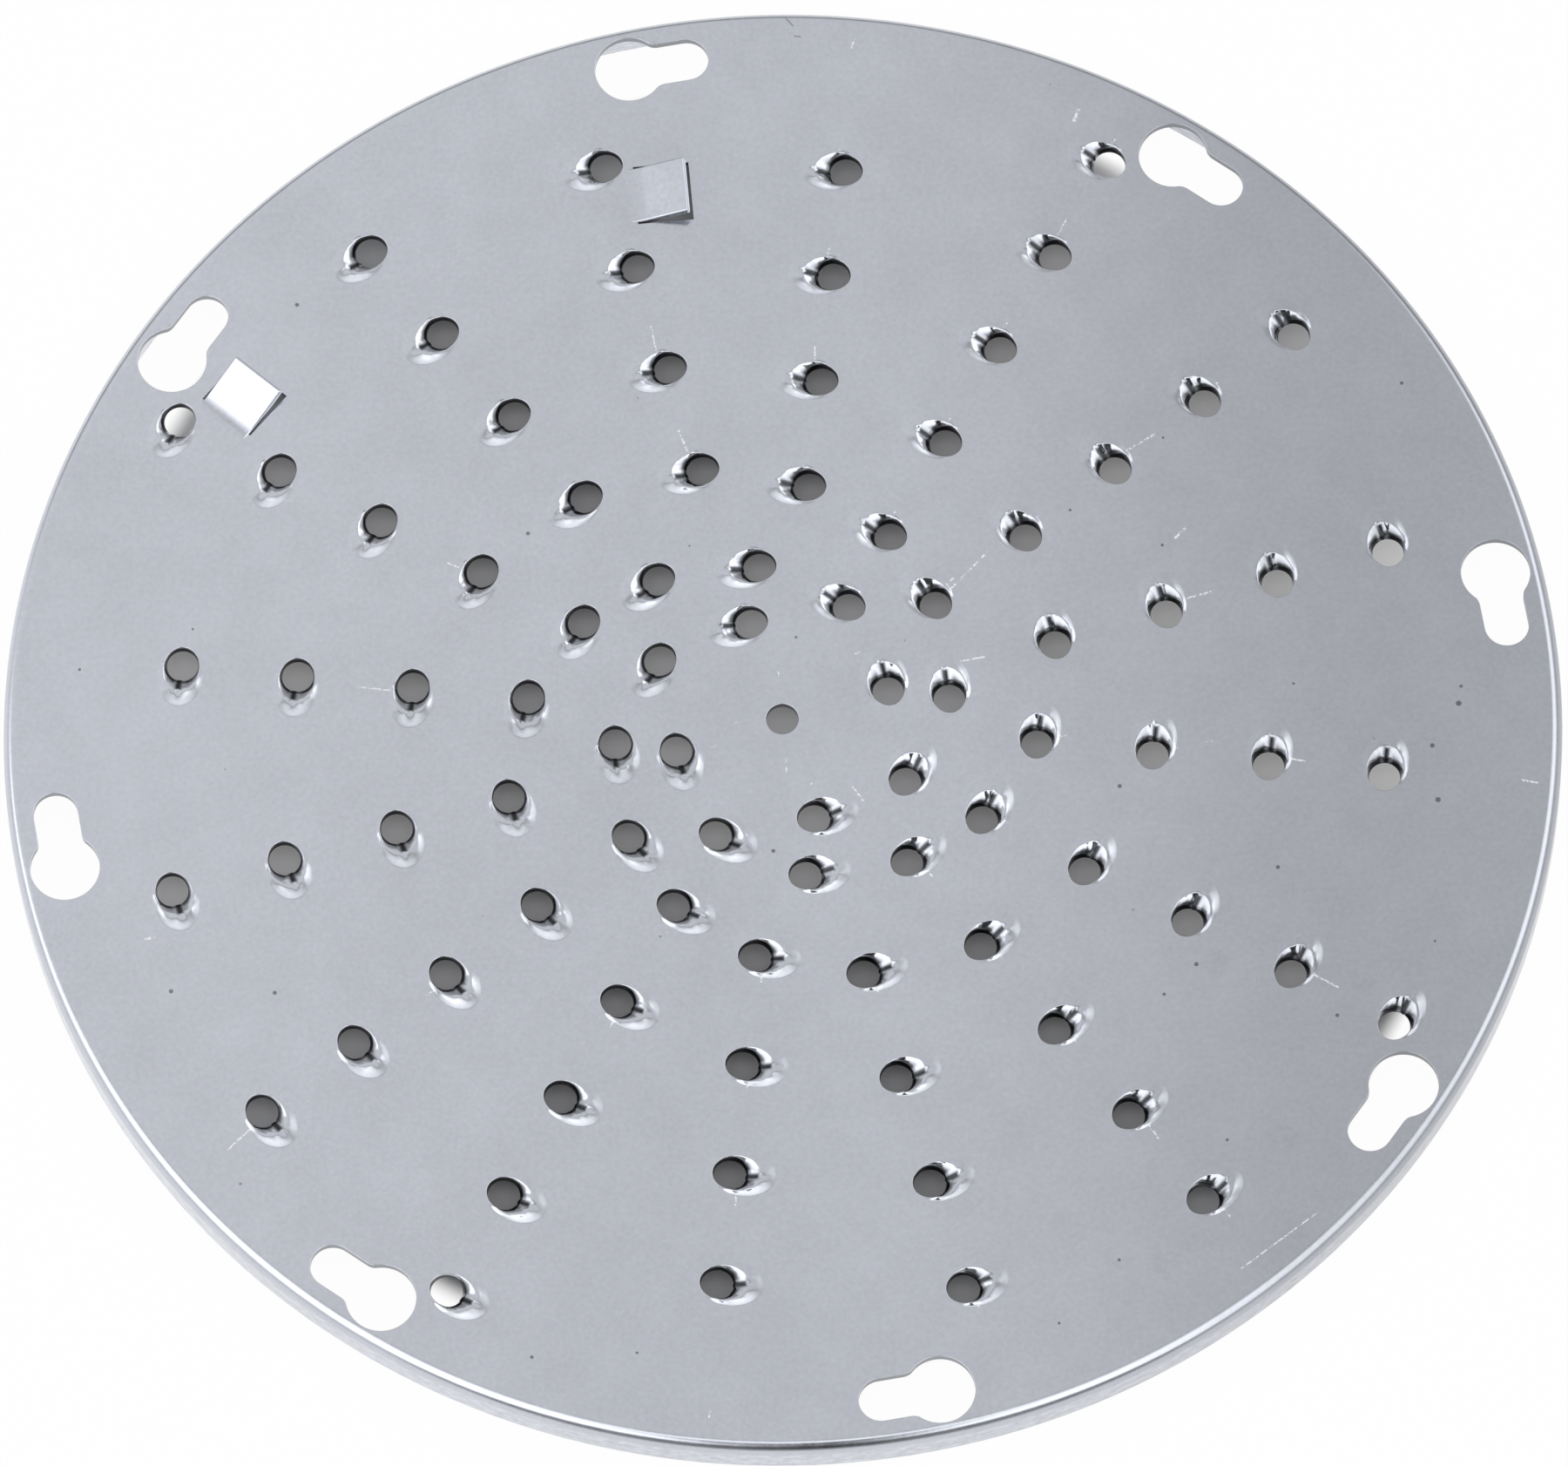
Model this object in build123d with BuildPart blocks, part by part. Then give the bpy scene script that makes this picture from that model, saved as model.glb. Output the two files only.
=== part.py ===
"""Shredding disc of a food processor: one piece of stamped sheet steel, rim turned down, lying rim down."""

import os
from math import asin, cos, degrees, radians, sin, tan

from build123d import *

# Plate and turned-down rim, in millimetres; z is 0 at the rim's lower edge
disc_r = 114.3
disc_h = 6.0
sheet_t = 1.2
bend_inner_r = 0.6
bend_outer_r = bend_inner_r + sheet_t
bend_facets = 2
rim_inner_r = disc_r - sheet_t
flat_r = disc_r - bend_outer_r
under_z = disc_h - sheet_t

# Plain hole at the centre
centre_hole_r = 2.38

# Keyholes: a round head, and a slot that leaves it clockwise
keyhole_count = 8
keyhole_head_r = 5.1
keyhole_slot_w = 6.5
keyhole_l = 17.0
keyhole_blend_r = 0.9
keyhole_margin = 0.1
keyhole_start_deg = 10.1
keyhole_circle_r = flat_r - keyhole_margin - keyhole_head_r
keyhole_reach = keyhole_l - keyhole_head_r - keyhole_slot_w / 2
keyhole_lean_deg = degrees(asin(keyhole_reach / 2 / keyhole_circle_r))

# Teeth: each quarter turn has four rows, and a row's teeth stand on every fourth track from its first to its last
quarter_count = 4
row_count = 4
row_start_deg = 14.2
row_first_no = (6, 3, 4, 5)
row_last_no = (18, 19, 20, 17)
inner_tooth_deg = 5.6
track_first_r = 16.2
track_margin = 11.1
track_last_r = flat_r - track_margin
track_pitch = (track_last_r - track_first_r) / max(row_last_no)
quarter_deg = 360 / quarter_count
row_step_deg = quarter_deg / row_count

# One tooth, from the middle of its hole on top of the plate: x runs counter-clockwise round the disc, z up
hole_r = 2.47
hole_facets = 10
lip_facets = 8
lip_r = 3.6
lip_shift = 2.7
lip_slope_deg = 17.0
lip_height_share = 0.8
flare_facets = 6
flare_deg = 27.0
flare_reach = 3.58
flare_clear = 0.4
throat_overrun = 0.5

# Two square tabs, cut on three sides and bent up clockwise, each ahead of one row's outermost tooth
tab_row_no = (0, 2)
tab_l = 8.0
tab_w = 8.8
tab_gap = 0.25
tab_rise_deg = 21.0
tab_bend_r = 4.0
tab_turn_deg = -7.0
tab_inset = 6.4
tab_lead_deg = 4.3


def track_r(track):
    return track_first_r + track_pitch * track


def row_deg(row):
    return row_start_deg + row_step_deg * row


def tangent_place(r, deg, turn_deg=0.0):
    """Place on top of the plate whose x runs counter-clockwise round the disc."""
    spot = (r * cos(radians(deg)), r * sin(radians(deg)), disc_h)
    return Location(spot, (0, 0, deg + 90 + turn_deg))


# Where each tooth stands: rows of every fourth track, and three more near the centre
row_tracks = [range(first, last + 1, row_count) for first, last in zip(row_first_no, row_last_no)]
quarter_spots = [(track_r(track), row_deg(row)) for row, tracks in enumerate(row_tracks) for track in tracks]
quarter_spots += [(track_r(0), row_deg(0)), (track_r(1), row_deg(2)), (track_r(2), inner_tooth_deg)]
quarter_turns = [quarter_deg * quarter for quarter in range(quarter_count)]
tooth_places = [tangent_place(r, deg + turn) for turn in quarter_turns for r, deg in quarter_spots]

# Where each tab's bend line stands, x running clockwise to its free end, in the disc's second quarter
tab_rise = radians(tab_rise_deg)
tab_plan_l = tab_l * cos(tab_rise)
tab_way_deg = 180 + tab_turn_deg
tab_back = Location((-tab_plan_l / 2, 0, 0))
tab_spots = [(track_r(row_last_no[row]) - tab_inset, row_deg(row) + quarter_deg) for row in tab_row_no]
tab_places = [tangent_place(r, deg - tab_lead_deg, tab_way_deg) * tab_back for r, deg in tab_spots]

# Raised lip of one tooth, a low faceted cone standing off to one side of its hole
lip_run = 1 / tan(radians(lip_slope_deg))
lip_depth = sheet_t / 4
lip_rise = lip_height_share * lip_r / lip_run
with BuildPart() as lip:
    with BuildSketch(Plane.XY.offset(-lip_depth)):
        with Locations((lip_shift, 0)):
            RegularPolygon(lip_r + lip_depth * lip_run, lip_facets, major_radius=False, rotation=180 / lip_facets)
    extrude(amount=lip_depth + lip_rise, taper=90 - lip_slope_deg)

# Flare that leaves the cutting edge on the lip: a leaning cone upright on its back, drawn wide end down
flare_tilt_deg = (90 - flare_deg) / 2
flare_tilt = radians(flare_tilt_deg)
flare_back = hole_r * cos(radians(180 / hole_facets)) - flare_clear
flare_depth = (flare_reach + flare_back) * tan(radians(flare_deg))
flare_x = flare_depth * tan(flare_tilt) - flare_back
flare_r = flare_depth / cos(flare_tilt) * tan(flare_tilt)
flare_above = (lip_rise + throat_overrun + flare_r * sin(flare_tilt)) * cos(flare_tilt) / cos(2 * flare_tilt)
flare_below = sheet_t / cos(flare_tilt)
with BuildPart() as flare:
    with BuildSketch(Plane.XY.offset(-flare_above)):
        flare_top_r = flare_r + flare_above * tan(flare_tilt)
        RegularPolygon(flare_top_r, flare_facets, major_radius=False, rotation=180 / flare_facets)
    extrude(amount=flare_above + flare_below, taper=flare_tilt_deg)

# Throat of one tooth: its round hole straight through the plate and the flare above it
with BuildPart() as throat:
    with BuildSketch(Plane.XY.offset(-sheet_t - throat_overrun)):
        RegularPolygon(hole_r, hole_facets, rotation=180 / hole_facets)
    extrude(amount=sheet_t + lip_rise + 2 * throat_overrun)
    with Locations(Location((flare_x, 0, 0), (0, 180 + flare_tilt_deg, 0))):
        add(flare.part)

# One tab, bent up out of the plate, x from its bend line to its free end
tab_root = sheet_t
tab_foot = (-tab_root, 0)
tab_under_foot = (-tab_root, -sheet_t)
tab_tip = (tab_plan_l, tab_l * sin(tab_rise))
tab_under_tip = (tab_tip[0] + sheet_t * sin(tab_rise), tab_tip[1] - sheet_t * cos(tab_rise))
tab_under_bend = (sheet_t * tan(tab_rise / 2), -sheet_t)
with BuildPart() as tab:
    with BuildSketch(Plane.XZ.offset(-tab_w / 2)):
        with BuildLine():
            Polyline(tab_foot, (0, 0), tab_tip, tab_under_tip, tab_under_bend, tab_under_foot, close=True)
        make_face()
        fillet(vertices().sort_by_distance((0, 0))[0], tab_bend_r)
        fillet(vertices().sort_by_distance(tab_under_bend)[0], tab_bend_r + sheet_t)
    extrude(amount=tab_w)

# Window that one tab is cut from, open on three sides of it
window_l = tab_l + tab_gap
window_w = tab_w + 2 * tab_gap
with BuildPart() as window:
    with Locations((window_l / 2, 0, -sheet_t / 2)):
        Box(window_l, window_w, 2 * sheet_t)

# One keyhole, y counter-clockwise round the disc, its slot's two ends both on the keyhole circle
with BuildSketch() as keyhole:
    with Locations(Rotation(0, 0, -keyhole_lean_deg)):
        with Locations((0, -keyhole_reach / 2)):
            SlotCenterToCenter(keyhole_reach, keyhole_slot_w, rotation=90)
    Circle(keyhole_head_r)
    fillet(vertices().sort_by(Axis.Y)[-2:], keyhole_blend_r)

# Section of the rim: its bend on the outside in facets, then down, and back up inside
bend_z = disc_h - bend_outer_r
bend_turns = [radians(90 * facet / bend_facets) for facet in range(bend_facets + 1)]
bend_outside = [(flat_r + bend_outer_r * sin(turn), bend_z + bend_outer_r * cos(turn)) for turn in bend_turns]
rim_inside = [(disc_r, 0), (rim_inner_r, 0), (rim_inner_r, under_z - bend_inner_r), (flat_r, under_z)]

# The disc: plate and rim in one, then the centre hole, keyholes, tabs and teeth
with BuildPart() as shredder_disc:
    with BuildSketch(Plane.XZ):
        with BuildLine():
            Polyline((0, under_z), (0, disc_h), *bend_outside, *rim_inside, close=True)
        make_face()
    revolve(axis=Axis.Z)
    with BuildSketch(Plane.XY.offset(disc_h)):
        Circle(centre_hole_r)
        with PolarLocations(keyhole_circle_r, keyhole_count, keyhole_start_deg):
            add(keyhole.sketch)
    extrude(amount=-sheet_t, mode=Mode.SUBTRACT)
    with Locations(*tab_places):
        add(window.part, mode=Mode.SUBTRACT)
        add(tab.part)
    with Locations(*tooth_places):
        add(lip.part)
        add(throat.part, mode=Mode.SUBTRACT)
shredder_disc.part.label = "shredder_disc"

os.makedirs("parts", exist_ok=True)
export_step(shredder_disc.part, "parts/shredder_disc.step")
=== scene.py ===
"""Looks of the shredding disc: its steel as the photograph shows it, on a white floor in soft studio light."""

from math import asin, cos, exp, pi, radians, sin, sqrt, tan

import bmesh
import bpy
from mathutils import Matrix, Vector, noise


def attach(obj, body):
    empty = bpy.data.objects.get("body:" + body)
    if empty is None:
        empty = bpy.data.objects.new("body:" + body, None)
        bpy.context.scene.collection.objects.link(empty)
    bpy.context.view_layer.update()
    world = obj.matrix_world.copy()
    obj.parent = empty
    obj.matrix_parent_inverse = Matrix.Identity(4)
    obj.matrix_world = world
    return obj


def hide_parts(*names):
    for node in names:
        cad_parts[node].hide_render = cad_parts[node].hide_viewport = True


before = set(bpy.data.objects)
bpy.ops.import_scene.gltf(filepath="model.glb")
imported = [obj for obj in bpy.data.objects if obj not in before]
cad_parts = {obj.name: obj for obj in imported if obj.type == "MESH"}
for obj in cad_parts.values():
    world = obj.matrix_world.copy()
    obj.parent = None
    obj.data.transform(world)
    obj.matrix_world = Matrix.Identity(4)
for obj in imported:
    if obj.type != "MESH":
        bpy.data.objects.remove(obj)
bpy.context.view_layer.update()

mm_per_m = 1000

# Sizes in millimetres, from the rim's lower edge up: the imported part's own, but for a softer tab bend and crest
disc_r = 114.3
disc_h = 6.0
sheet_t = 1.2
bend_inner_r = 0.6
bend_outer_r = bend_inner_r + sheet_t
rim_inner_r = disc_r - sheet_t
flat_r = disc_r - bend_outer_r
under_z = disc_h - sheet_t

# Rim: steps round it and over its bend, the level of a line on its side, and the rounding of its lower edge
rim_steps = 256
bend_outer_steps = 10
bend_inner_steps = 5
rim_line_z = 2.2
rim_edge_r = 0.15
rim_edge_mid = 0.3 * rim_edge_r

# Edge of a hole, rolled in steps: how far out and how far down, in shares of its radius; then how dark its wall is
# painted, as shade
rolled_edge = [(0.62, 0.08), (0.29, 0.29), (0.08, 0.62), (0.0, 1.0)]
hole_wall_cut = 0.6

centre_hole_r = 2.38
centre_hole_edge = 0.1
centre_hole_steps = 32

keyhole_count = 8
keyhole_head_r = 5.1
keyhole_slot_r = 3.25
keyhole_l = 17.0
keyhole_blend = 0.9
keyhole_edge = 0.08
keyhole_start_deg = 10.1
keyhole_circle_r = 107.3
keyhole_reach = keyhole_l - keyhole_head_r - keyhole_slot_r
keyhole_lean = asin(keyhole_reach / 2 / keyhole_circle_r)
keyhole_head_steps = 40
keyhole_slot_steps = 18
keyhole_blend_steps = 5

# Teeth: rows of every fourth track in each quarter turn, and one more tooth on a line of its own near the centre
quarter_count = 4
quarter_deg = 90
track_first_r = 16.2
track_pitch = 4.26
track_step = 4
row_start_deg = 14.2
row_step_deg = 22.5
row_ends = [(6, 18), (3, 19), (4, 20), (5, 17)]
inner_tooth_deg = 5.6

# Rings of one tooth: both ends along x, half width, level at both ends, then how bright and how torn it is there
tooth_steps = 44
tooth_rings = [
    (-2.33, 2.40, 2.30, -1.2, -1.2, 0.0, 0.0),
    (-2.35, 2.52, 2.34, -0.8, -0.9, 0.2, 0.6),
    (-2.39, 2.78, 2.40, -0.4, -0.55, 0.6, 1.0),
    (-2.43, 3.20, 2.46, -0.15, -0.23, 1.0, 1.0),
    (-2.47, 3.66, 2.53, -0.06, -0.02, 1.0, 1.0),
    (-2.51, 4.08, 2.60, -0.02, 0.17, 1.0, 1.0),
    (-2.55, 4.44, 2.67, 0.0, 0.33, 1.0, 0.9),
    (-2.60, 4.70, 2.74, 0.0, 0.40, 1.0, 0.7),
    (-2.63, 4.98, 2.82, 0.0, 0.38, 1.0, 0.4),
    (-2.67, 5.40, 2.95, 0.0, 0.31, 0.9, 0.15),
    (-2.71, 5.85, 3.10, 0.0, 0.225, 0.6, 0.0),
    (-2.75, 6.30, 3.25, 0.0, 0.14, 0.3, 0.0),
    (-2.80, 6.70, 3.39, 0.0, 0.065, 0.1, 0.0),
    (-2.85, 7.10, 3.52, 0.0, 0.0, 0.0, 0.0),
]
# How a ring's points gather at its high end, and how late its level rises to it
oval_gather = 0.45
oval_rise_power = 1.8

# Painted shade in a throat's first rings: all round on its wall, and beside the middle of the lip further up
throat_cut = (1.0, 1.0, 0.7, 0.2)
throat_wall_rings = 2
lip_from_x = 0.8
lip_middle_w = 0.5

# Tears of a lip: its waves, the split down its middle with painted shade in it, and a kink at the side of the hole
wave_rise = 0.11
fine_rise = 0.13
fine_shift = 0.12
split_from_x = 2.0
split_to_x = 4.6
split_sway = 0.7
split_w = 0.42
split_depth = 0.30
split_depth_sway = 0.16
split_back = 0.35
split_cut = 1.5
kink_x = 0.4
kink_y = -2.75
kink_rise = 0.24
kink_spread = 0.24

# Tabs: the row and track of the tooth that each stands ahead of, and their edges
tab_teeth = [(0, 18), (2, 20)]
tab_l = 8.0
tab_w = 8.8
tab_gap = 0.25
tab_rise = radians(21.0)
tab_bend_r = 8.0
tab_bend_steps = 6
tab_turn_deg = -7.0
tab_inset = 6.4
tab_lead_deg = 4.3
tab_edge = 0.28
tab_edge_steps = 4
tab_window_edge = 0.06

# Wear and painted shade kept on the vertices, and the tolerances of the mesh
wear_and_shade_layers = ("worn", "torn", "cut")
weld_dist = 1e-5
level_slack = 1e-4
sharp_edge = radians(60)
smooth_under = radians(38)

# Marks on the plate: place and radius of each dark speck, and of each dull stain with its soft edge
speck_soft = 0.12
dark_specks = [
    (99.1, -1.9, 0.36), (95.3, -17, 0.34), (94.9, -8.4, 0.28), (-90.6, -39, 0.27),
    (-75.5, -39.9, 0.25), (58.8, -41.3, 0.27), (-2.1, -20.8, 0.24), (-69.3, 69.5, 0.25),
    (48.9, -12.8, 0.25), (71.4, -26.6, 0.25), (-36.3, 31.2, 0.24), (78.9, -50.2, 0.23),
    (-39.9, -98.1, 0.21), (93.4, 49.6, 0.21), (53.9, -45.8, 0.19), (56.9, 25.2, 0.17),
    (99.6, 0.8, 0.19), (62, -68.9, 0.17), (43.6, 31.4, 0.16), (45.5, -86.8, 0.19),
    (-102.8, 12.4, 0.17), (75.1, 2.3, 0.15), (36.4, -96.2, 0.15), (-24.7, -98.1, 0.14),
    (2.5, 12.9, 0.14), (57.8, 42.4, 0.13), (-86, 18.1, 0.12), (93.7, -39.2, 0.13),
]
dull_stains = [
    (61.5, -41.4, 0.8, 2), (82.9, -45.5, 0.6, 1.8), (70.4, -69.1, 0.6, 2.2),
    (51.8, -87.6, 0.8, 2.4), (45.5, -86.6, 0.6, 2),
]
# Scratches: both ends and half their width
dark_scratches = [
    ((4.4, 113.5), (5.9, 111.5), 0.12), ((5.8, 110), (7, 109.8), 0.12),
]
light_scratches = [
    ((62.4, -89.4), (74.8, -80.5), 0.14), ((25.1, 19.2), (31.8, 25.9), 0.2),
    ((58.7, 26.1), (60.5, 27.9), 0.25), ((46.8, 93.9), (47.8, 96.3), 0.3),
    ((-94.4, -30.8), (-92.7, -30.3), 0.25), ((61.7, -6.4), (62.8, -6.2), 0.15),
]
# Drag lines: shortest reach and what is added to it, how far beside the tooth's middle, and how much they lean
drag_reach = 3.6
drag_more = 5.0
drag_beside = 1.3
drag_lean = 0.3
drag_lean_from = 2.6

# Steel: its colours, how strongly each pattern, mark and painted shade shows in it, and how rough each leaves it
steel_colour = (0.585, 0.603, 0.655)
rubbed_colour = (0.9, 0.9, 0.9, 1.0)
cloud_tone, blotch_tone, grain_tone, streak_tone = 0.10, 0.14, 0.21, 0.9
speck_dark, scratch_dark = 0.75, 0.6
dark_depth, stain_depth, cut_depth = 0.85, 0.16, 0.92
rubbed_share = 0.6
steel_rough, blotch_rough, grain_rough = 0.20, 0.10, 0.08
worn_polish, marked_rough, cut_rough = 0.09, 0.2, 0.12
bump_strength, bump_height = 0.2, 0.00003

# Floor: its colour, how white it shows in the open, and how far back it lies as seen through the keyholes
floor_size = 4.0
floor_colour = (0.72, 0.72, 0.74, 1.0)
floor_white = 0.97
floor_seen_back = 0.0025

# Light: soft lamps by azimuth from the right, height, full and outer radius in degrees, and level; other levels
side_lamps = [
    (200.0, 46.0, 14.0, 32.0, 1.9),
    (345.0, 40.0, 12.0, 34.0, 1.6),
    (25.0, 37.0, 14.0, 30.0, 2.0),
    (167.0, 31.0, 9.0, 18.0, 2.0),
]
overhead_level, overhead_edge_level = 2.1, 0.5
front_wall_level, stand_level, far_wall_level = 0.3, 0.03, 0.42
left_level, right_level = 0.86, 0.78
light_colour = (0.985, 0.99, 1.0, 1.0)

# Camera at the photograph's angle, in metres, its focal length in the photograph's pixels
photo_w = 1800
focal_px = 20024.5
sensor_w = 36.0
camera_elev = radians(67.504)
camera_roll = radians(2.338)
camera_away = 2.5555
camera_target = (0.000165, -0.002243, 0.006)
camera_near, camera_far = 0.05, 20.0


def clamp(value):
    return min(1.0, max(0.0, value))


# Places on top of the plate

def track_r(track):
    return track_first_r + track_pitch * track


def row_deg(row):
    return row_start_deg + row_step_deg * row


def place_at(r, deg, turn_deg):
    centre = Vector((r * cos(radians(deg)), r * sin(radians(deg)), disc_h))
    return Matrix.Translation(centre) @ Matrix.Rotation(radians(turn_deg), 4, "Z")


def tangent_place(r, deg, turn_deg=0.0):
    """A place whose x runs counter-clockwise round the disc, or is turned from that."""
    return place_at(r, deg, deg + 90 + turn_deg)


def tooth_places():
    spots = []
    for row, (first, last) in enumerate(row_ends):
        spots += [(track_r(track), row_deg(row)) for track in range(first, last + 1, track_step)]
    spots += [(track_r(0), row_deg(0)), (track_r(1), row_deg(2)), (track_r(2), inner_tooth_deg)]
    return [tangent_place(r, deg + quarter_deg * quarter) for quarter in range(quarter_count) for r, deg in spots]


def tab_places():
    """Places on each tab's bend line, x running clockwise to its free end."""
    back = Matrix.Translation((-tab_l * cos(tab_rise) / 2, 0, 0))
    spots = [(track_r(track) - tab_inset, row_deg(row) + quarter_deg - tab_lead_deg) for row, track in tab_teeth]
    return [tangent_place(r, deg, 180 + tab_turn_deg) @ back for r, deg in spots]


# Mesh helpers: a ring is a closed loop of vertices, grown by extruding its edges

def linked(vert):
    return [e.other_vert(vert) for e in vert.link_edges]


def only_verts(geom):
    return [item for item in geom if isinstance(item, bmesh.types.BMVert)]


def ring_edges(ring):
    pairs = zip(ring, ring[1:] + ring[:1])
    return [next(e for e in a.link_edges if e.other_vert(a) is b) for a, b in pairs]


def move_ring(ring, points):
    for v, point in zip(ring, points):
        v.co = point


def grow_ring(bm, ring, points):
    fresh = set(only_verts(bmesh.ops.extrude_edge_only(bm, edges=ring_edges(ring))["geom"]))
    grown = [next(other for other in linked(v) if other in fresh) for v in ring]
    move_ring(grown, points)
    return grown


def round_ring(bm, r, z, steps):
    made = bmesh.ops.create_circle(bm, cap_ends=False, radius=r, segments=steps)["verts"]
    bmesh.ops.translate(bm, verts=made, vec=(0, 0, z))
    return list(made)


def finished_mesh(bm, name):
    mesh = bpy.data.meshes.new(name)
    bm.to_mesh(mesh)
    bm.free()
    return mesh


# One tooth, x counter-clockwise: oval rings from under the plate up its throat, over its crest and out

def oval(low_x, high_x, half_w, low_z, high_z):
    """Points of an oval given by its two ends along x, its half width, and its level at both ends."""
    points = []
    for k in range(tooth_steps):
        turn = 2 * pi * k / tooth_steps
        turn -= oval_gather * sin(turn)
        share = ((1 + cos(turn)) / 2) ** oval_rise_power
        x = (low_x + high_x) / 2 + (high_x - low_x) / 2 * cos(turn)
        points.append(Vector((x, half_w * sin(turn), low_z + (high_z - low_z) * share)))
    return points


def build_tooth():
    bm = bmesh.new()
    worn, torn, cut = [bm.verts.layers.float.new(name) for name in wear_and_shade_layers]
    *shape, _, _ = tooth_rings[0]
    ring = round_ring(bm, shape[2], -sheet_t, tooth_steps)
    move_ring(ring, oval(*shape))
    # Painted shade on the throat's lowest ring
    for v in ring:
        v[cut] = 1.0
    for number, (*shape, bright, tear) in enumerate(tooth_rings[1:]):
        ring = grow_ring(bm, ring, oval(*shape))
        for v in ring:
            v[worn] = bright
            v[torn] = tear * clamp(v.co.x)
            v[cut] = 0.0
            # Painted shade on the throat's first rings
            if number < len(throat_cut):
                beside = clamp((abs(v.co.y) - lip_middle_w) / lip_middle_w)
                v[cut] = throat_cut[number] * (beside if v.co.x > lip_from_x else number < throat_wall_rings)
    return finished_mesh(bm, "tooth")


def add_teeth(bm):
    """Sets a tooth at each place, the torn edge of its throat a little different on every one, with painted shade
    in the split down its lip.
    """
    tooth = build_tooth()
    for number, place in enumerate(tooth_places()):
        one = bmesh.new()
        one.from_mesh(tooth)
        worn, torn, cut = [one.verts.layers.float[name] for name in wear_and_shade_layers]
        split_y = split_sway * noise.noise(Vector((number * 1.9, 4.1, 0.3)))
        split_z = split_depth + split_depth_sway * noise.noise(Vector((number * 1.3, 2.7, 8.3)))
        for v in one.verts:
            x, y, _ = v.co
            wave = noise.noise(Vector((y * 0.8, x * 0.5, number * 3.7)))
            fine = noise.noise(Vector((y * 1.9, x * 1.6, number * 3.7 + 9.0)))
            split = v[torn] * exp(-(((y - split_y) / split_w) ** 2)) if x > split_from_x else 0.0
            kink = kink_rise * v[worn] * exp(-((x - kink_x) ** 2 + (y - kink_y) ** 2) / kink_spread)
            v.co.z += v[torn] * (wave_rise * wave + fine_rise * fine) - split_z * split + kink
            v.co.x += v[torn] * fine_shift * fine - split_back * split
            # Painted shade in the split, short of its far end
            if x < split_to_x:
                v[cut] = max(v[cut], min(1.0, split_cut * split))
        bmesh.ops.transform(one, matrix=place, verts=list(one.verts))
        placed = finished_mesh(one, "placed_tooth")
        bm.from_mesh(placed)
        bpy.data.meshes.remove(placed)
    bpy.data.meshes.remove(tooth)


# Keyholes, centre hole and tab windows, cut straight through the plate

def at_level(points, z):
    return [Vector((point.x, point.y, z)) for point in points]


def ring_grown(ring, reach, z):
    """The ring's points moved out from the hole by a reach and set at a level."""
    points = []
    for k, v in enumerate(ring):
        along = ring[(k + 1) % len(ring)].co - ring[k - 1].co
        out = Vector((along.y, -along.x, 0.0)).normalized()
        points.append(Vector((v.co.x, v.co.y, 0.0)) + out * reach + Vector((0, 0, z)))
    return points


def add_hole_wall(bm, ring, edge):
    """Gives a hole's outline, counter-clockwise and on top of the plate, its rounded edge and its wall, the wall
    darkened as painted shade.
    """
    cut = bm.verts.layers.float["cut"]
    outline = [v.co.copy() for v in ring]
    move_ring(ring, ring_grown(ring, edge, disc_h))
    for out_share, down_share in rolled_edge:
        z = disc_h - edge * down_share
        ring = grow_ring(bm, ring, at_level(outline, z))
        if out_share:
            move_ring(ring, ring_grown(ring, edge * out_share, z))
    wall_top = grow_ring(bm, ring, at_level(outline, disc_h - 2 * edge))
    # Painted shade on the hole's wall
    for v in wall_top + grow_ring(bm, wall_top, at_level(outline, under_z)):
        v[cut] = hole_wall_cut


def arc(bm, centre, start, angle, steps):
    """Vertices swept from a start point round a centre."""
    first = bm.verts.new(start)
    bmesh.ops.spin(bm, geom=[first], cent=centre, axis=(0, 0, 1), angle=angle, steps=steps, use_merge=False)
    run = [first]
    while True:
        ahead = [v for v in linked(run[-1]) if v not in run]
        if not ahead:
            return run
        run.append(ahead[0])


def keyhole_ring(bm, place):
    """A keyhole's outline: its round head, its slot, and the two blends where they meet."""
    slot_end = Vector((0.0, -keyhole_reach, 0.0))
    slot_side = Vector((-keyhole_slot_r, 0, 0))
    neck = Vector((keyhole_slot_r, -sqrt(keyhole_head_r ** 2 - keyhole_slot_r ** 2), 0.0))
    half_neck = asin(keyhole_slot_r / keyhole_head_r)
    over_head = arc(bm, Vector((0.0, 0.0, 0.0)), neck, 2 * pi - 2 * half_neck, keyhole_head_steps)
    round_end = arc(bm, slot_end, slot_end + slot_side, pi, keyhole_slot_steps)
    bm.edges.new((over_head[-1], round_end[0]))
    bm.edges.new((round_end[-1], over_head[0]))
    ring = over_head[1:3]
    bmesh.ops.bevel(
        bm, geom=[over_head[0], over_head[-1]], offset=keyhole_blend, segments=keyhole_blend_steps, profile=0.5,
        affect="VERTICES", material=-1,
    )
    while True:
        ahead = next(v for v in linked(ring[-1]) if v is not ring[-2])
        if ahead is ring[0]:
            break
        ring.append(ahead)
    lean = Matrix.Rotation(-keyhole_lean, 4, "Z")
    bmesh.ops.transform(bm, matrix=place @ lean, verts=ring)
    return ring


def add_keyholes(bm):
    for k in range(keyhole_count):
        deg = keyhole_start_deg + 360 * k / keyhole_count
        add_hole_wall(bm, keyhole_ring(bm, place_at(keyhole_circle_r, deg, deg)), keyhole_edge)


def add_tab_windows(bm):
    window_l = tab_l + tab_gap
    half_w = tab_w / 2 + tab_gap
    corners = [(0.0, -half_w), (window_l, -half_w), (window_l, half_w), (0.0, half_w)]
    for place in tab_places():
        ring = [bm.verts.new(place @ Vector((x, y, 0.0))) for x, y in corners]
        for a, b in zip(ring, ring[1:] + ring[:1]):
            bm.edges.new((a, b))
        add_hole_wall(bm, ring, tab_window_edge)


# The turned-down rim, spun from its section

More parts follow.
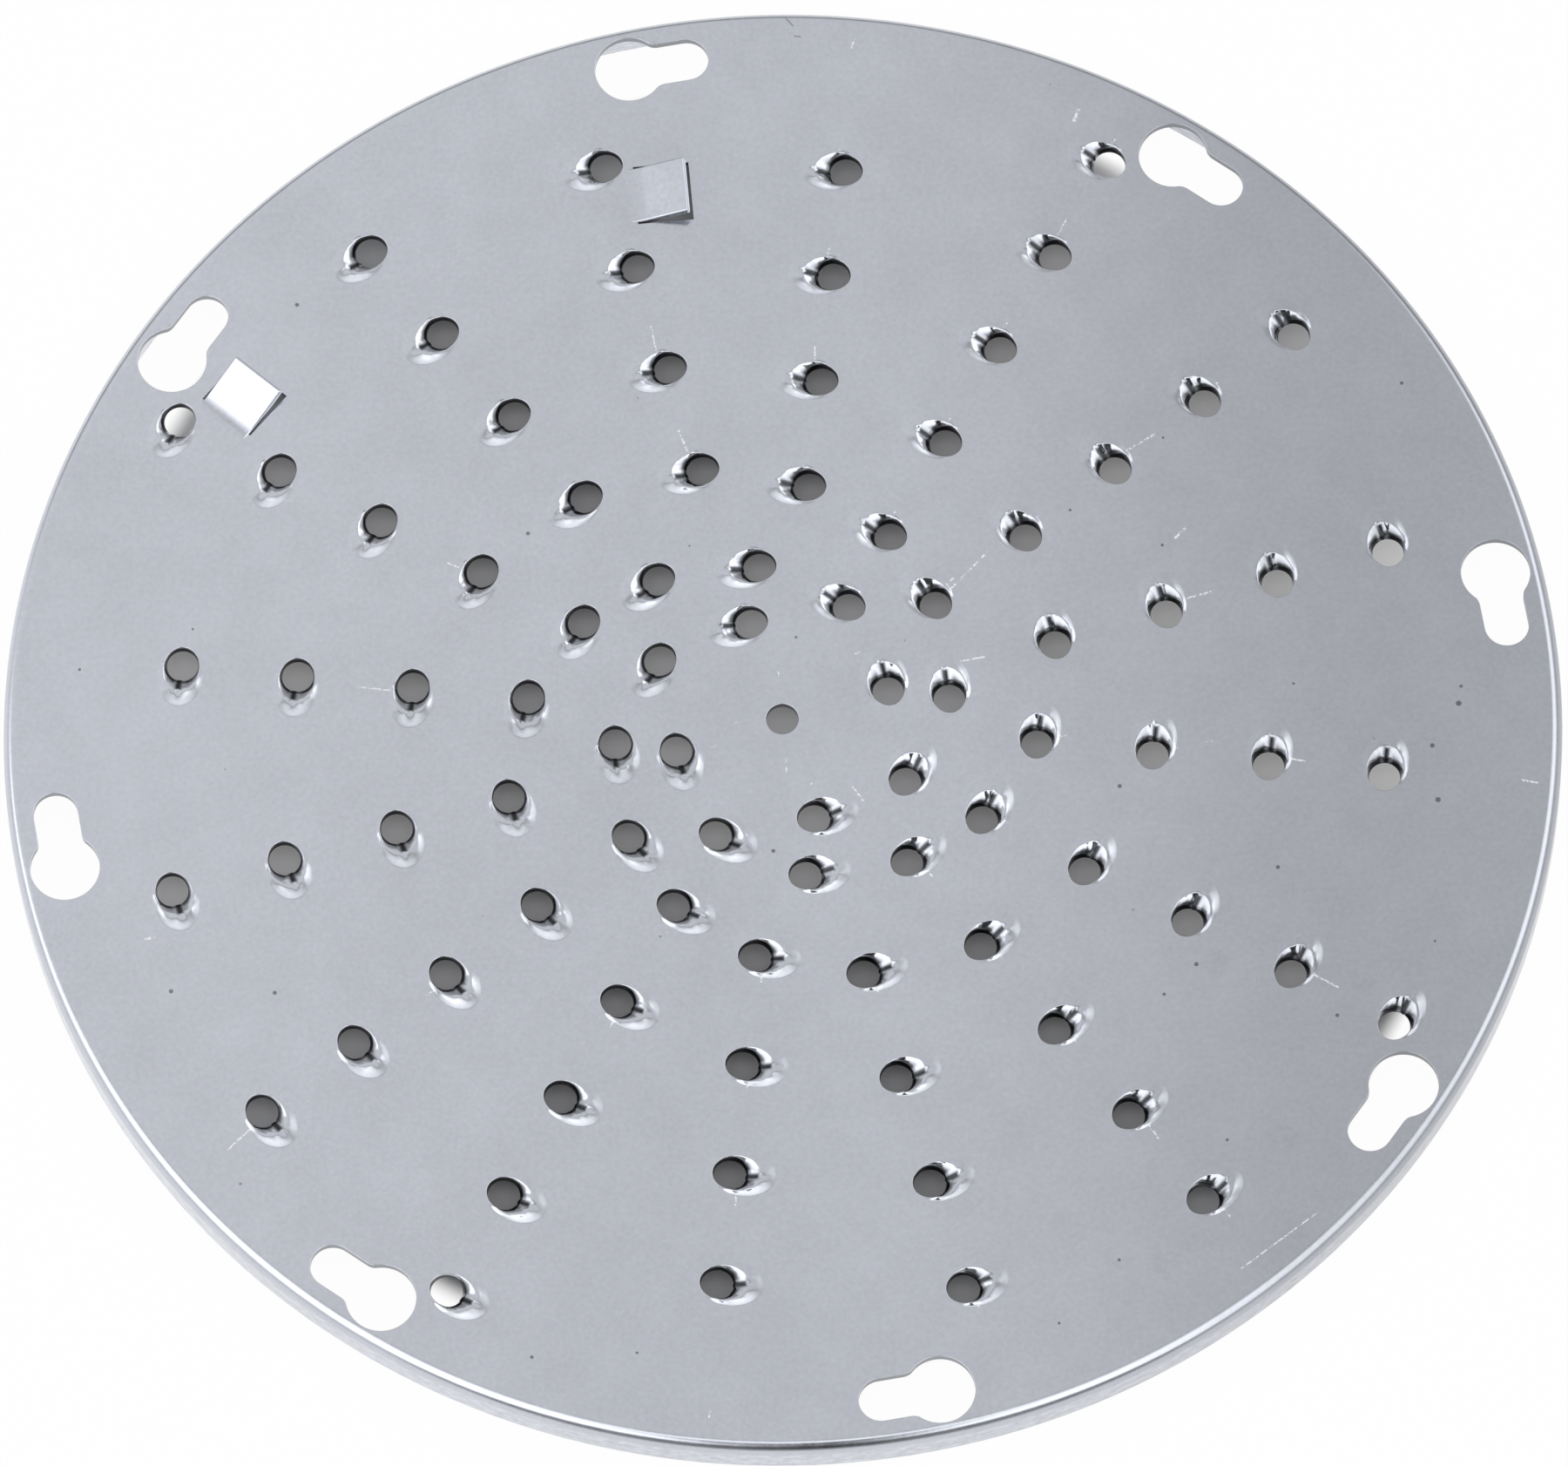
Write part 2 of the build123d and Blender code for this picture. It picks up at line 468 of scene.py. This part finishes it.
def add_rim(bm):
    section = [(flat_r, disc_h)]
    for k in range(1, bend_outer_steps + 1):
        turn = radians(90 * k / bend_outer_steps)
        section.append((flat_r + bend_outer_r * sin(turn), disc_h - bend_outer_r * (1 - cos(turn))))
    section += [(disc_r, rim_line_z), (disc_r, rim_edge_r), (disc_r - rim_edge_mid, rim_edge_mid)]
    section += [(disc_r - rim_edge_r, 0.0), (rim_inner_r + rim_edge_r, 0.0)]
    section += [(rim_inner_r + rim_edge_mid, rim_edge_mid), (rim_inner_r, rim_edge_r)]
    for k in range(bend_inner_steps + 1):
        turn = radians(90 * (1 - k / bend_inner_steps))
        section.append((flat_r + bend_inner_r * sin(turn), under_z - bend_inner_r * (1 - cos(turn))))
    line = [bm.verts.new((r, 0.0, z)) for r, z in section]
    edges = [bm.edges.new(pair) for pair in zip(line, line[1:])]
    bmesh.ops.spin(
        bm, geom=line + edges, cent=(0, 0, 0), axis=(0, 0, 1), angle=2 * pi, steps=rim_steps, use_merge=True
    )


# The plate's two faces, filled between the rim and every hole's edge

def fill_plate(bm):
    for level, up in ((disc_h, 1.0), (under_z, -1.0)):
        loops = [e for e in bm.edges if e.is_boundary and all(abs(v.co.z - level) < level_slack for v in e.verts)]
        bmesh.ops.triangle_fill(bm, use_beauty=True, use_dissolve=False, edges=loops, normal=(0, 0, up))


# A tab, cut on three sides and bent up, x from its bend line to its free end

def build_tab():
    bm = bmesh.new()
    bend_l = tab_bend_r * tan(tab_rise / 2)
    foot = [bm.verts.new((-bend_l, 0.0, z)) for z in (0.0, -sheet_t)]
    bent = bmesh.ops.spin(
        bm, geom=foot + [bm.edges.new(foot)], cent=(-bend_l, 0, tab_bend_r), axis=(0, -1, 0), angle=tab_rise,
        steps=tab_bend_steps, use_merge=False,
    )["geom_last"]
    bent_edges = [item for item in bent if isinstance(item, bmesh.types.BMEdge)]
    free_end = only_verts(bmesh.ops.extrude_edge_only(bm, edges=bent_edges)["geom"])
    straight = tab_l - bend_l
    bmesh.ops.translate(bm, verts=free_end, vec=(straight * cos(tab_rise), 0, straight * sin(tab_rise)))
    far_side = only_verts(bmesh.ops.extrude_face_region(bm, geom=list(bm.faces))["geom"])
    bmesh.ops.translate(bm, verts=far_side, vec=(0, tab_w, 0))
    bmesh.ops.translate(bm, verts=list(bm.verts), vec=(0, -tab_w / 2, 0))
    bmesh.ops.recalc_face_normals(bm, faces=list(bm.faces))
    sharp = [e for e in bm.edges if e.is_manifold and e.calc_face_angle() > sharp_edge]
    bmesh.ops.bevel(
        bm, geom=sharp, offset=tab_edge, segments=tab_edge_steps, profile=0.5, affect="EDGES", material=-1,
        clamp_overlap=True,
    )
    return finished_mesh(bm, "tab")


def build_disc():
    bm = bmesh.new()
    for name in wear_and_shade_layers:
        bm.verts.layers.float.new(name)
    add_keyholes(bm)
    add_hole_wall(bm, round_ring(bm, centre_hole_r, disc_h, centre_hole_steps), centre_hole_edge)
    add_tab_windows(bm)
    add_rim(bm)
    add_teeth(bm)
    bmesh.ops.remove_doubles(bm, verts=list(bm.verts), dist=weld_dist)
    fill_plate(bm)
    bmesh.ops.recalc_face_normals(bm, faces=list(bm.faces))
    tab = build_tab()
    for place in tab_places():
        before = len(bm.verts)
        bm.from_mesh(tab)
        bm.verts.ensure_lookup_table()
        bmesh.ops.transform(bm, matrix=place, verts=bm.verts[before:])
    bpy.data.meshes.remove(tab)
    bmesh.ops.scale(bm, vec=[1 / mm_per_m] * 3, verts=list(bm.verts))
    for face in bm.faces:
        face.smooth = True
    mesh = finished_mesh(bm, "shredder_disc_steel")
    mesh.set_sharp_from_angle(angle=smooth_under)
    disc = bpy.data.objects.new("shredder_disc_steel", mesh)
    bpy.context.scene.collection.objects.link(disc)
    flat = disc.modifiers.new("flat_faces_keep_flat", "WEIGHTED_NORMAL")
    flat.mode = "FACE_AREA"
    flat.weight = 50
    flat.keep_sharp = True
    return disc


# Material nodes, written short

class Nodes:
    def __init__(self, tree):
        self.tree = tree

    def add(self, kind, **values):
        node = self.tree.nodes.new(kind)
        for name, value in values.items():
            setattr(node, name, value)
        return node

    def put(self, socket, value):
        if isinstance(value, bpy.types.NodeSocket):
            self.tree.links.new(value, socket)
        else:
            socket.default_value = value

    def math(self, operation, a, b=0.0, clamp=False):
        node = self.add("ShaderNodeMath", operation=operation, use_clamp=clamp)
        self.put(node.inputs[0], a)
        self.put(node.inputs[1], b)
        return node.outputs[0]

    def ramp(self, value, low, high, to_low=0.0, to_high=1.0):
        node = self.add("ShaderNodeMapRange", interpolation_type="SMOOTHSTEP", clamp=True)
        for socket, number in zip(node.inputs, (value, low, high, to_low, to_high)):
            self.put(socket, number)
        return node.outputs[0]

    def mix(self, share, a, b):
        node = self.add("ShaderNodeMix", data_type="RGBA")
        self.put(node.inputs[0], share)
        self.put(node.inputs[6], a)
        self.put(node.inputs[7], b)
        return node.outputs[2]

    def noise(self, vector, scale, detail, rough=0.55):
        node = self.add("ShaderNodeTexNoise")
        self.put(node.inputs["Vector"], vector)
        self.put(node.inputs["Scale"], scale)
        self.put(node.inputs["Detail"], detail)
        self.put(node.inputs["Roughness"], rough)
        return node.outputs["Fac"]

    def apart(self, vector):
        node = self.add("ShaderNodeSeparateXYZ")
        self.put(node.inputs[0], vector)
        return node.outputs

    def joined(self, x, y, z):
        node = self.add("ShaderNodeCombineXYZ")
        for socket, value in zip(node.inputs, (x, y, z)):
            self.put(socket, value)
        return node.outputs[0]

    def vector(self, operation, a, b, result="Vector"):
        node = self.add("ShaderNodeVectorMath", operation=operation)
        self.put(node.inputs[0], a)
        self.put(node.inputs[1], b)
        return node.outputs[result]

    def random(self, vector):
        node = self.add("ShaderNodeTexWhiteNoise", noise_dimensions="3D")
        self.put(node.inputs["Vector"], vector)
        return self.apart(node.outputs["Color"])

    def attribute(self, name):
        return self.add("ShaderNodeAttribute", attribute_name=name).outputs["Fac"]

    def chain(self, operation, values):
        result = values[0]
        for value in values[1:]:
            result = self.math(operation, result, value)
        return result

    def product(self, *values):
        return self.chain("MULTIPLY", values)

    def total(self, *values):
        return self.chain("ADD", values)

    def most(self, *values):
        return self.chain("MAXIMUM", values)

    def away(self, x, y):
        return self.math("SQRT", self.total(self.product(x, x), self.product(y, y)))

    def sway(self, value, weight):
        """A noise taken about its middle."""
        return self.product(self.math("SUBTRACT", value, 0.5), weight)

    def remaining(self, share, depth):
        """What is left of one once a share of some depth is taken off."""
        return self.math("SUBTRACT", 1.0, self.product(share, depth))


# Marks on the plate, by their place in millimetres from the disc's axis

def spot(n, place, x, y, r, soft):
    away = n.vector("DISTANCE", place, (x / mm_per_m, y / mm_per_m, disc_h / mm_per_m), "Value")
    return n.ramp(away, (r + soft) / mm_per_m, r / mm_per_m)


def stroke(n, place, start, end, half_w):
    """Share of a thin straight scratch, fading at both its ends."""
    start = Vector((*start, disc_h)) / mm_per_m
    along = Vector((*end, disc_h)) / mm_per_m - start
    across = Vector((-along.y, along.x, 0.0)).normalized()
    from_start = n.vector("SUBTRACT", place, start)
    run = n.vector("DOT_PRODUCT", from_start, along / along.length_squared, "Value")
    off = n.math("ABSOLUTE", n.vector("DOT_PRODUCT", from_start, across, "Value"))
    ends = n.product(n.ramp(run, 0.0, 0.1), n.ramp(run, 1.0, 0.9))
    return n.product(ends, n.ramp(off, half_w / mm_per_m, half_w / 2 / mm_per_m))


def tooth_drags(n, x, y):
    """Broken whitish lines that run out from the teeth, a different length at each and missing at some."""
    tooth_gap = track_step * track_pitch
    away = n.product(n.away(x, y), mm_per_m)
    deg = n.math("DEGREES", n.math("ARCTAN2", y, x))
    rows = n.math("DIVIDE", n.math("SUBTRACT", deg, row_start_deg), row_step_deg)
    row = n.math("ROUND", rows)
    off = n.product(n.math("RADIANS", n.product(n.math("SUBTRACT", rows, row), row_step_deg)), away)
    first = n.math("FLOORED_MODULO", n.total(row, 2.0), track_step)
    out = n.math("SUBTRACT", n.math("SUBTRACT", away, track_first_r), n.product(first, track_pitch))
    turns = n.math("DIVIDE", out, tooth_gap)
    tooth = n.math("FLOOR", turns)
    past = n.product(n.math("SUBTRACT", turns, tooth), tooth_gap)
    length, lean, present = n.random(n.joined(row, tooth, 0.5))
    reach = n.total(drag_reach, n.product(n.math("POWER", length, 3.0), drag_more))
    leaning = n.product(n.math("SUBTRACT", lean, 0.5), n.math("SUBTRACT", past, drag_lean_from), drag_lean)
    beside = n.total(drag_beside, leaning)
    line = n.ramp(n.math("ABSOLUTE", n.math("SUBTRACT", off, beside)), 0.20, 0.08)
    within = n.product(n.ramp(past, 2.7, 3.0), n.ramp(n.math("SUBTRACT", past, reach), 0.2, -0.2))
    in_mm = n.joined(n.product(x, mm_per_m), n.product(y, mm_per_m), 0.0)
    dots = n.ramp(n.noise(in_mm, 2.2, 1.0), 0.42, 0.56)
    likely = n.ramp(x, -0.04, 0.03, 0.25, 0.85)
    return n.product(line, within, dots, n.ramp(n.math("SUBTRACT", likely, present), 0.0, 0.1))


def steel_material():
    material = bpy.data.materials.new("satin_steel")
    material.use_nodes = True
    n = Nodes(material.node_tree)
    shader = material.node_tree.nodes["Principled BSDF"]
    place = n.add("ShaderNodeTexCoord").outputs["Object"]
    x, y, z = n.apart(place)
    on_top = n.ramp(z, (disc_h - 0.2) / mm_per_m, (disc_h - 0.05) / mm_per_m)
    on_side = n.ramp(z, (disc_h - 1.0) / mm_per_m, (disc_h - 2.2) / mm_per_m)
    worn, cut = n.attribute("worn"), n.attribute("cut")

    # Clouds, blotches and grain all over, and streaks along the rim's side
    cloud = n.noise(place, 26.0, 3.0, 0.5)
    blotch = n.noise(place, 120.0, 4.0, 0.6)
    grain = n.noise(place, 1300.0, 3.0, 0.7)
    around = n.product(n.math("ARCTAN2", y, x), 60.0)
    streak = n.noise(n.joined(around, n.product(z, 900.0), 0.0), 1.0, 4.0, 0.65)
    streaks = n.product(n.math("SUBTRACT", streak, 0.45), streak_tone, on_side)
    tone = n.total(n.sway(cloud, cloud_tone), n.sway(blotch, blotch_tone), n.sway(grain, grain_tone), streaks)

    # Dark specks, fine dust and dark scratches
    specks = n.most(*[spot(n, place, *mark, speck_soft) for mark in dark_specks])
    cells = n.add("ShaderNodeTexVoronoi", feature="F1")
    n.put(cells.inputs["Vector"], place)
    n.put(cells.inputs["Scale"], 160.0)
    picked, size, depth = n.apart(cells.outputs["Color"])
    dust_r = n.total(0.02, n.product(size, 0.035))
    dust = n.product(n.ramp(picked, 0.80, 0.84), n.ramp(cells.outputs["Distance"], dust_r, 0.015))
    dust = n.product(dust, n.total(0.15, n.product(depth, 0.45)))
    scratched = n.most(*[stroke(n, place, *mark) for mark in dark_scratches])
    dark = n.product(n.most(n.product(specks, speck_dark), dust, n.product(scratched, scratch_dark)), on_top)

    # Dull stains, broken up
    broken = n.ramp(n.noise(place, 420.0, 3.0, 0.65), 0.40, 0.66)
    stains = n.product(n.most(*[spot(n, place, *mark) for mark in dull_stains]), broken, on_top)

    # Whitish drag lines and rubbed scratches, on the plate but not on the bright lips
    drags = n.product(tooth_drags(n, x, y), on_top)
    rubbed = n.most(*[stroke(n, place, *mark) for mark in light_scratches])
    rubbed = n.product(rubbed, n.ramp(n.noise(place, 2400.0, 1.0), 0.40, 0.55), on_top)
    plain = n.math("SUBTRACT", 1.0, worn, clamp=True)
    light = n.product(n.most(drags, rubbed), plain)

    # Colour: painted light and shade, the plate a little brighter on the left and darker on the right
    across = n.product(n.ramp(x, -0.114, 0.02, 1.07, 0.99), n.ramp(x, 0.01, 0.09, 1.0, 0.77))
    value = n.product(n.total(1.0, tone), across)
    # Painted shade on hole walls, throats and lip splits darkens the colour here, by the cut share
    for share, depth in ((dark, dark_depth), (stains, stain_depth), (cut, cut_depth)):
        value = n.product(value, n.remaining(share, depth))
    base = n.add("ShaderNodeVectorMath", operation="SCALE")
    n.put(base.inputs[0], steel_colour)
    n.put(base.inputs["Scale"], value)
    colour = n.mix(n.product(light, rubbed_share), base.outputs["Vector"], rubbed_colour)
    n.put(shader.inputs["Base Color"], colour)
    n.put(shader.inputs["Metallic"], n.remaining(light, rubbed_share))

    # Roughness: bright lips are smoother, marks and cut walls rougher
    rough = n.total(steel_rough, n.sway(blotch, blotch_rough), n.sway(grain, grain_rough))
    rough = n.math("SUBTRACT", rough, n.product(worn, worn_polish))
    rough = n.total(rough, n.product(n.most(stains, dark, light), marked_rough), n.product(cut, cut_rough))
    n.put(shader.inputs["Roughness"], rough)

    bump = n.add("ShaderNodeBump")
    n.put(bump.inputs["Strength"], bump_strength)
    n.put(bump.inputs["Distance"], bump_height)
    n.put(bump.inputs["Height"], n.noise(place, 300.0, 2.0, 0.75))
    n.put(shader.inputs["Normal"], bump.outputs["Normal"])
    return material


def floor_material():
    """A pale sheet that takes the shadow and shows white in the open, with painted light under the keyholes and, a
    little, in places under the disc.
    """
    material = bpy.data.materials.new("white_sheet")
    material.use_nodes = True
    n = Nodes(material.node_tree)
    material.node_tree.nodes.remove(material.node_tree.nodes["Principled BSDF"])
    plain = n.add("ShaderNodeBsdfDiffuse")
    n.put(plain.inputs["Color"], floor_colour)
    glow = n.add("ShaderNodeEmission")
    path = n.add("ShaderNodeLightPath").outputs
    seen = n.most(path["Is Camera Ray"], path["Is Glossy Ray"], path["Is Transmission Ray"])
    x, y, _ = n.apart(n.add("ShaderNodeTexCoord").outputs["Object"])

    # White share: whole past the rim, painted light under the keyholes, and a little painted light in places under
    # the disc
    painted_light_centre = n.ramp(n.away(x, y), 0.045, 0.008, 0.0, 0.12)
    open_away = n.away(x, n.math("SUBTRACT", y, floor_seen_back))
    open_white_and_keyhole_light = n.ramp(open_away, 0.0995, 0.1035, 0.0, floor_white)
    abreast = n.ramp(n.math("ABSOLUTE", y), 0.070, 0.010)
    painted_light_sides = n.product(n.ramp(n.math("ABSOLUTE", x), 0.015, 0.085, 0.0, 0.15), abreast)
    rightward = n.total(n.ramp(x, 0.01, 0.06, 0.0, 0.10), n.ramp(x, 0.07, 0.10, 0.0, 0.2))
    painted_light_right = n.product(rightward, n.ramp(y, -0.060, 0.020))
    painted_light_back = n.ramp(y, 0.0, 0.08, 0.0, 0.03)
    white = n.math("MINIMUM", n.total(painted_light_centre, open_white_and_keyhole_light, painted_light_sides, painted_light_right, painted_light_back), floor_white)

    both = n.add("ShaderNodeMixShader")
    n.put(both.inputs[0], n.product(seen, white))
    n.put(both.inputs[1], plain.outputs[0])
    n.put(both.inputs[2], glow.outputs[0])
    n.put(material.node_tree.nodes["Material Output"].inputs["Surface"], both.outputs[0])
    return material


def add_floor():
    bm = bmesh.new()
    bmesh.ops.create_grid(bm, x_segments=1, y_segments=1, size=floor_size)
    floor = bpy.data.objects.new("floor", finished_mesh(bm, "floor"))
    floor.data.materials.append(floor_material())
    bpy.context.scene.collection.objects.link(floor)


def towards(n, way, deg, elev_deg, inner_deg, outer_deg):
    """Share of a soft-edged round lamp, by its azimuth from the right and its height."""
    turn, elev = radians(deg), radians(elev_deg)
    aim = Vector((cos(elev) * cos(turn), cos(elev) * sin(turn), sin(elev)))
    facing = n.vector("DOT_PRODUCT", way, aim, "Value")
    return n.ramp(facing, cos(radians(outer_deg)), cos(radians(inner_deg)))


def add_light():
    """A pale studio with lamps high up, so that the plate stays grey when it is seen from low down."""
    world = bpy.data.worlds.new("studio")
    world.use_nodes = True
    n = Nodes(world.node_tree)
    way = n.add("ShaderNodeTexCoord").outputs["Generated"]
    side, far, height = n.apart(way)
    beside = n.math("ABSOLUTE", side)
    near = n.product(far, -1.0)
    high_up = n.ramp(height, 0.42, 0.54)
    overhead = n.product(n.ramp(near, -0.15, 0.25), n.ramp(beside, 0.95, 0.6), high_up)
    overhead_edge = n.product(n.ramp(far, 0.12, 0.16), n.ramp(far, 0.25, 0.20), n.ramp(beside, 0.6, 0.4))
    front_wall = n.product(n.ramp(near, 0.62, 0.72), n.ramp(beside, 0.75, 0.5), n.ramp(height, 0.14, 0.24))
    stand = n.product(n.ramp(beside, 0.15, 0.10), n.ramp(near, 0.16, 0.22), n.ramp(height, 0.30, 0.45))
    far_wall = n.product(n.ramp(far, 0.55, 0.75), n.ramp(height, 0.45, 0.30))
    patches = [(overhead, overhead_level), (overhead_edge, overhead_edge_level)]
    patches += [(n.product(towards(n, way, *lamp), high_up), lamp_level) for *lamp, lamp_level in side_lamps]
    patches += [(front_wall, front_wall_level), (stand, stand_level), (far_wall, far_wall_level)]
    level = n.ramp(side, -0.5, 0.5, left_level, right_level)
    for share, patch_level in patches:
        level = n.total(n.product(level, n.math("SUBTRACT", 1.0, share)), n.product(share, patch_level))
    back = world.node_tree.nodes["Background"]
    n.put(back.inputs["Strength"], level)
    n.put(back.inputs["Color"], light_colour)
    bpy.context.scene.world = world


def add_camera():
    data = bpy.data.cameras.new("camera")
    data.sensor_fit = "HORIZONTAL"
    data.sensor_width = sensor_w
    data.lens = sensor_w * focal_px / photo_w
    data.clip_start = camera_near
    data.clip_end = camera_far
    right = Vector((1, 0, 0))
    up = Vector((0, sin(camera_elev), cos(camera_elev)))
    back = Vector((0, -cos(camera_elev), sin(camera_elev)))
    side_axis = right * cos(camera_roll) - up * sin(camera_roll)
    up_axis = right * sin(camera_roll) + up * cos(camera_roll)
    turn = Matrix((side_axis, up_axis, back)).transposed().to_4x4()
    camera = bpy.data.objects.new("camera", data)
    camera.matrix_world = Matrix.Translation(Vector(camera_target) + back * camera_away) @ turn
    bpy.context.scene.collection.objects.link(camera)
    bpy.context.scene.camera = camera


disc = build_disc()
disc.data.materials.append(steel_material())
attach(disc, "root")
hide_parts("shredder_disc")
add_floor()
add_light()
add_camera()
bpy.context.scene.view_settings.view_transform = "Standard"
